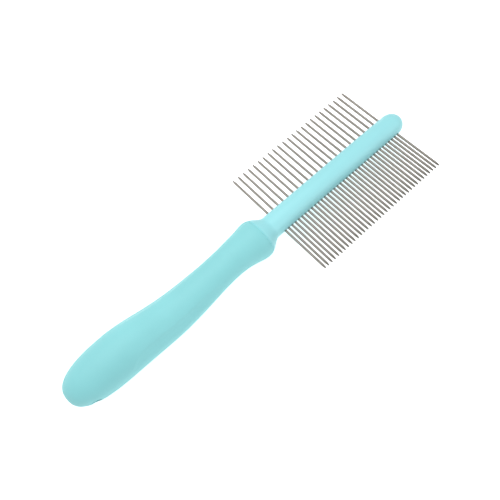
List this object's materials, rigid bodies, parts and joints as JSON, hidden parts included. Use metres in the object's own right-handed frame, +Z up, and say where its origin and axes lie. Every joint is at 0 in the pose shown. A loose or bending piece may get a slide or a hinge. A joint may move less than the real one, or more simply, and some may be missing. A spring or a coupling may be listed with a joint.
{
  "type": "grooming comb",
  "caption": "Double-sided pet grooming comb: steel pins moulded into a slim spine, coarse row one side, fine row the other, on a soft sleeved handle with a hang hole.",
  "frame": {"origin": "centre of the overall box in plan, on the surface that the grip's belly touches", "axes": "+X from the butt of the handle to the tip of the spine, +Y towards the coarse row, +Z up, square to the plane of the pins"},
  "size_m": [0.19, 0.0596, 0.021],
  "materials": {
    "rigid_moulding": "satin moulded plastic, pale aqua",
    "soft_grip": "matte soft-touch elastomer, pale aqua",
    "pin_steel": "drawn and tumbled stainless wire"
  },
  "bodies": {
    "root": {"comb_core": "rigid_moulding", "grip_sleeve": "soft_grip", "coarse_pin_01": "pin_steel", "coarse_pin_02": "pin_steel", "coarse_pin_03": "pin_steel", "coarse_pin_04": "pin_steel", "coarse_pin_05": "pin_steel", "coarse_pin_06": "pin_steel", "coarse_pin_07": "pin_steel", "coarse_pin_08": "pin_steel", "coarse_pin_09": "pin_steel", "coarse_pin_10": "pin_steel", "coarse_pin_11": "pin_steel", "coarse_pin_12": "pin_steel", "coarse_pin_13": "pin_steel", "coarse_pin_14": "pin_steel", "coarse_pin_15": "pin_steel", "coarse_pin_16": "pin_steel", "coarse_pin_17": "pin_steel", "coarse_pin_18": "pin_steel", "coarse_pin_19": "pin_steel", "coarse_pin_20": "pin_steel", "coarse_pin_21": "pin_steel", "coarse_pin_22": "pin_steel", "coarse_pin_23": "pin_steel", "coarse_pin_24": "pin_steel", "fine_pins_01": "pin_steel", "fine_pins_02": "pin_steel", "fine_pins_03": "pin_steel", "fine_pins_04": "pin_steel", "fine_pins_05": "pin_steel", "fine_pins_06": "pin_steel", "fine_pins_07": "pin_steel", "fine_pins_08": "pin_steel", "fine_pins_09": "pin_steel", "fine_pins_10": "pin_steel", "fine_pins_11": "pin_steel", "fine_pins_12": "pin_steel", "fine_pins_13": "pin_steel", "fine_pins_14": "pin_steel", "fine_pins_15": "pin_steel", "fine_pins_16": "pin_steel", "fine_pins_17": "pin_steel", "fine_pins_18": "pin_steel", "fine_pins_19": "pin_steel"}
  },
  "joints": []
}
